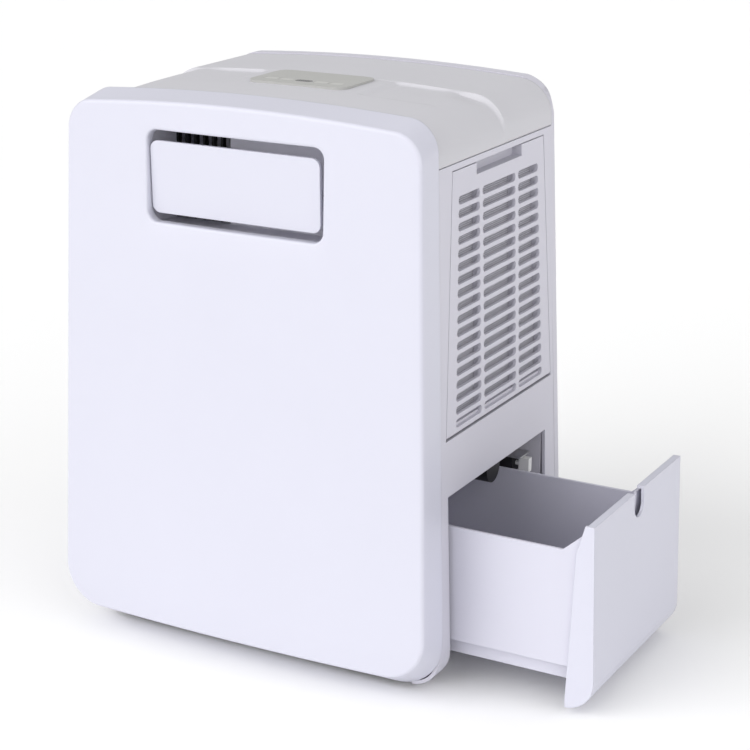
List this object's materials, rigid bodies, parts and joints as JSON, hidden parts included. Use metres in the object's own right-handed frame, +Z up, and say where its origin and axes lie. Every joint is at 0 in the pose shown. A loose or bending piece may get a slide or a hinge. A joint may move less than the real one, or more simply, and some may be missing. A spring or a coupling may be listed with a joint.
{
  "type": "dehumidifier",
  "caption": "Compact compressor dehumidifier: tapered case, tilting air outlet flap, side filter door and a water tank that slides out of its right side.",
  "frame": {"origin": "on the floor under the middle of the overall box, tank out", "axes": "+X towards the tank side, -Y towards the front panel, +Z up"},
  "size_m": [0.4602, 0.2804, 0.46],
  "materials": {
    "white_shell": "smooth glossy moulded plastic",
    "case_plastic": "fine-grained moulded plastic",
    "top_grey": "fine-grained grey moulded plastic",
    "panel_film": "satin film",
    "key_cap": "satin film",
    "dark_window": "dark tinted lens",
    "inner_grey": "moulded grey plastic",
    "duct_grey": "moulded lavender grey plastic",
    "black_plastic": "moulded black plastic",
    "filter_cloth": "woven nylon mesh",
    "tank_plastic": "smooth moulded plastic",
    "rubber": "soft black rubber",
    "fins": "thin sheet",
    "copper": "drawn copper tube",
    "black_steel": "semi-gloss black paint",
    "plain_steel": "plated steel",
    "board": "solder mask over laminate",
    "white_plastic": "smooth moulded plastic"
  },
  "bodies": {
    "root": {"front_panel": "white_shell", "top_cover": "top_grey", "left_side_panel": "case_plastic", "right_side_panel": "case_plastic", "rear_cover": "case_plastic", "base_tray": "inner_grey", "feet": "rubber", "tank_bay_liner": "inner_grey", "deck": "inner_grey", "outlet_duct": "duct_grey", "outlet_fins": "black_plastic", "flap_motor": "plain_steel", "fan_scroll": "white_plastic", "fan_motor": "plain_steel", "evaporator_fins": "fins", "evaporator_tubes": "copper", "condenser_fins": "fins", "condenser_tubes": "copper", "drip_tray": "black_plastic", "drain_spout": "black_plastic", "compressor": "black_steel", "compressor_grommets": "rubber", "accumulator": "black_steel", "discharge_pipe": "copper", "suction_pipe": "copper", "tank_switch": "black_plastic", "switch_bracket": "plain_steel", "control_panel": "panel_film", "display_window": "dark_window", "control_board": "board", "power_board": "board", "run_capacitor": "plain_steel", "cord_gland": "black_plastic", "case_screws": "plain_steel"},
    "outlet_flap": {"outlet_flap": "white_shell"},
    "fan": {"fan_wheel": "black_plastic", "fan_shaft": "plain_steel"},
    "filter_door": {"filter_door": "case_plastic", "filter_frame": "inner_grey", "filter_mesh": "filter_cloth"},
    "tank": {"tank_shell": "tank_plastic", "tank_panel": "white_shell", "float_cage": "white_plastic"},
    "float": {"float": "white_plastic"},
    "switch_plunger": {"switch_plunger": "white_plastic"},
    "power_key": {"power_key": "key_cap"},
    "timer_key": {"timer_key": "key_cap"},
    "humidity_key": {"humidity_key": "key_cap"},
    "mode_key": {"mode_key": "key_cap"}
  },
  "joints": [
    {"name": "tank_slide", "type": "slide", "parent": "root", "child": "tank", "axis": [1, 0, 0], "range_m": [-0.122, 0.12]},
    {"name": "float_rise", "type": "slide", "parent": "tank", "child": "float", "axis": [0, 0, 1], "range_m": [0, 0.018]},
    {"name": "flap_hinge", "type": "hinge", "parent": "root", "child": "outlet_flap", "pos_m": [-0.05937, -0.11124, 0.38767], "axis": [1, 0, 0], "range_deg": [-3, 50]},
    {"name": "fan_spin", "type": "hinge", "parent": "root", "child": "fan", "pos_m": [-0.02907, 0.00225, 0.27], "axis": [1, 0, 0], "continuous": true},
    {"name": "filter_door_hinge", "type": "hinge", "parent": "root", "child": "filter_door", "pos_m": [0.10172, 0.00225, 0.20838], "axis": [0, 1, 0], "range_deg": [0, 25]},
    {"name": "switch_press", "type": "slide", "parent": "root", "child": "switch_plunger", "axis": [1, 0, 0], "range_m": [-0.003, 0], "stiffness_N_per_m": 150, "springref_m": 0.002},
    {"name": "power_press", "type": "slide", "parent": "root", "child": "power_key", "axis": [0, 0, 1], "range_m": [-0.0008, 0], "stiffness_N_per_m": 800, "springref_m": 0.0005},
    {"name": "timer_press", "type": "slide", "parent": "root", "child": "timer_key", "axis": [0, 0, 1], "range_m": [-0.0008, 0], "stiffness_N_per_m": 800, "springref_m": 0.0005},
    {"name": "humidity_press", "type": "slide", "parent": "root", "child": "humidity_key", "axis": [0, 0, 1], "range_m": [-0.0008, 0], "stiffness_N_per_m": 800, "springref_m": 0.0005},
    {"name": "mode_press", "type": "slide", "parent": "root", "child": "mode_key", "axis": [0, 0, 1], "range_m": [-0.0008, 0], "stiffness_N_per_m": 800, "springref_m": 0.0005}
  ]
}
